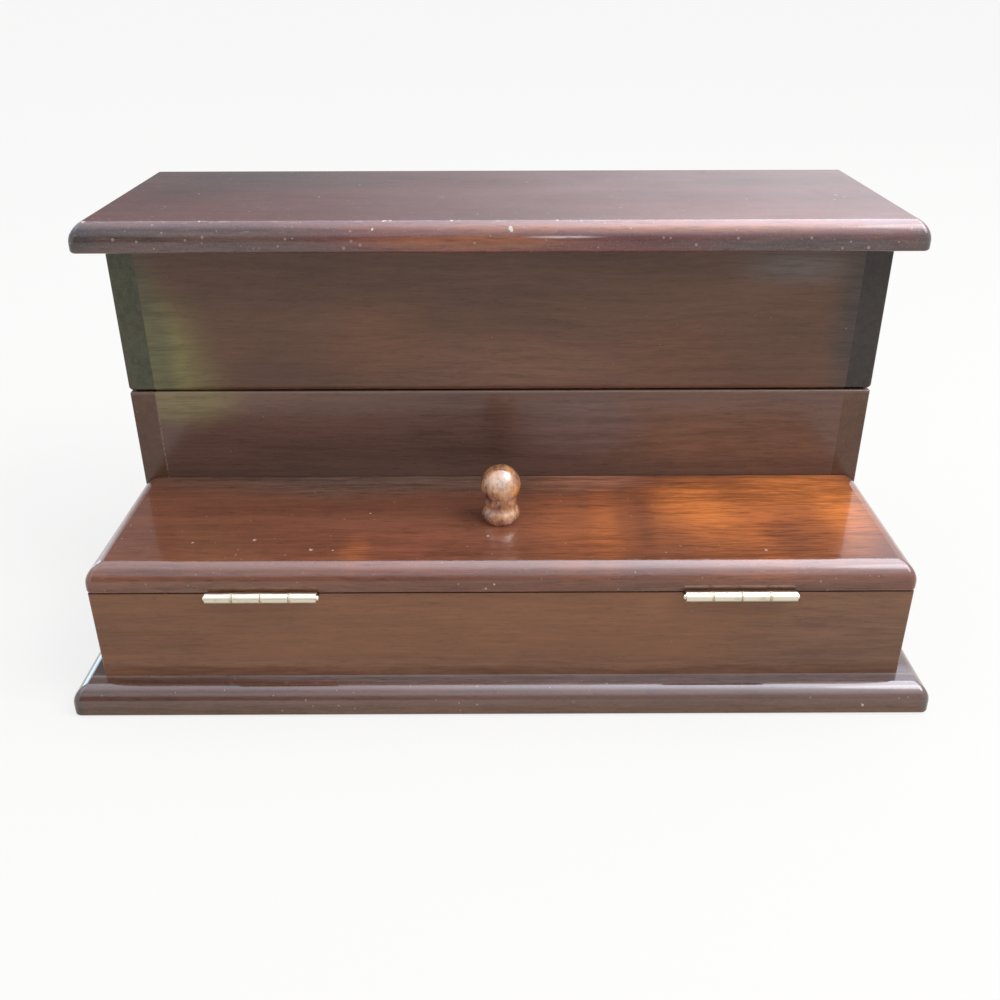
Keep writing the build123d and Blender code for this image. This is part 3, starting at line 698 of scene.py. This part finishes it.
def layFloor(look):
    grid = bmesh.new()
    bmesh.ops.create_grid(grid, x_segments=1, y_segments=1, size=look["floorSize"] / 2)
    bmesh.ops.translate(grid, verts=grid.verts, vec=(0, 0, -look["floorDrop"]))
    mesh = bpy.data.meshes.new("floor")
    grid.to_mesh(mesh)
    grid.free()
    floor = bpy.data.objects.new("floor", mesh)
    bpy.context.scene.collection.objects.link(floor)
    sheet = Sheet(bpy.data.materials.new("floorPaint"))
    matt = sheet.add("ShaderNodeBsdfDiffuse", inputs={"Color": look["floorColour"]})
    lit = sheet.add("ShaderNodeEmission", inputs={"Strength": 1.0})
    glow = seenRay(sheet)[1] * look["floorGlow"]
    paper = sheet.add("ShaderNodeMixShader", inputs={0: glow, 1: matt, 2: lit})
    sheet.add("ShaderNodeOutputMaterial", inputs={"Surface": paper})
    mesh.materials.append(sheet.owner)


def lightStudio(look):
    world = bpy.data.worlds.new("surround")
    bpy.context.scene.world = world
    sheet = Sheet(world)
    ray, seen = seenRay(sheet)
    x, y, z = sheet.split(sheet.add("ShaderNodeTexCoord", output="Generated"))
    front = 0 - y
    right = sheet.ease(x, *look["toRight"])
    rise = sheet.ease(z, *look["rise"]) * look["riseShare"] + look["lowShare"]
    backdrop = right * rise * (look["brightSide"] - look["dimSide"]) + look["dimSide"]
    backdrop = backdrop + sheet.ease(0 - x, *look["toFarLeft"]) * look["farLeft"]
    clear = sheet.ease(z, *look["sky"])
    clear = clear * (1 - sheet.ease(front, *look["toFront"]) * (1 - look["skyFront"]))
    sky = clear * (right * (look["skyRight"] - look["skyLeft"]) + look["skyLeft"])
    band = sheet.within(z, look["bandHeight"], look["bandReach"], look["bandSoft"])
    band = band * sheet.ease(front, *look["bandFront"])
    window = 1
    sizes = zip((x, y, z), look["windowAt"], look["windowReach"], look["windowSoft"])
    for value, middle, reach, soft in sizes:
        window = sheet.within(value, middle, reach, soft) * window
    whole = backdrop + sky + band * look["band"] + window * look["window"]
    level = whole * (seen * (1 - look["onSurfaces"]) + look["onSurfaces"])
    tint = sheet.mix(sheet.ease(z, *look["tintHeight"]), look["backdropTint"], look["skyTint"])
    tint = sheet.mix(window, tint, look["windowTint"])
    tint = sheet.mix(seen, white, tint)
    level = level * (1 - ray) + ray  # white behind the object
    tint = sheet.mix(ray, tint, white)
    light = sheet.add("ShaderNodeBackground", inputs={"Color": tint, "Strength": level})
    sheet.add("ShaderNodeOutputWorld", inputs={"Surface": light})

    lamp = bpy.data.lights.new("key", "AREA")
    lamp.shape, lamp.size, lamp.energy = "DISK", look["keySize"], look["keyPower"]
    lamp.color = look["keyTint"]
    key = bpy.data.objects.new("key", lamp)
    key.location = look["keyAt"]
    key.rotation_mode = "QUATERNION"
    key.rotation_quaternion = Vector(look["keyAt"]).to_track_quat("Z", "Y")
    key.visible_camera = False
    bpy.context.scene.collection.objects.link(key)


layFloor(studio)
lightStudio(studio)

# The camera's place in metres, its angles in degrees, and its lens and sensor in millimetres
view = {
    "place": (-0.00076, -0.40002, 0.25090), "turn": 0.08, "down": 27.56, "roll": -0.16,
    "lens": 37.245, "sensor": 36,
}


def aimCamera(look):
    turn, down, roll = (math.radians(look[k]) for k in ("turn", "down", "roll"))
    level = Vector((math.sin(turn), math.cos(turn), 0))
    ahead = level * math.cos(down) - Vector((0, 0, math.sin(down)))
    right = Vector((math.cos(turn), -math.sin(turn), 0))
    up = right.cross(ahead)
    rolledRight = right * math.cos(roll) + up * math.sin(roll)
    rolledUp = up * math.cos(roll) - right * math.sin(roll)
    data = bpy.data.cameras.new("camera")
    data.lens, data.sensor_width = look["lens"], look["sensor"]
    camera = bpy.data.objects.new("camera", data)
    turned = Matrix((rolledRight, rolledUp, -ahead)).transposed().to_4x4()
    camera.matrix_world = Matrix.Translation(look["place"]) @ turned
    bpy.context.scene.collection.objects.link(camera)
    bpy.context.scene.camera = camera


aimCamera(view)
bpy.context.scene.view_settings.view_transform = "Standard"
print("studio ready")
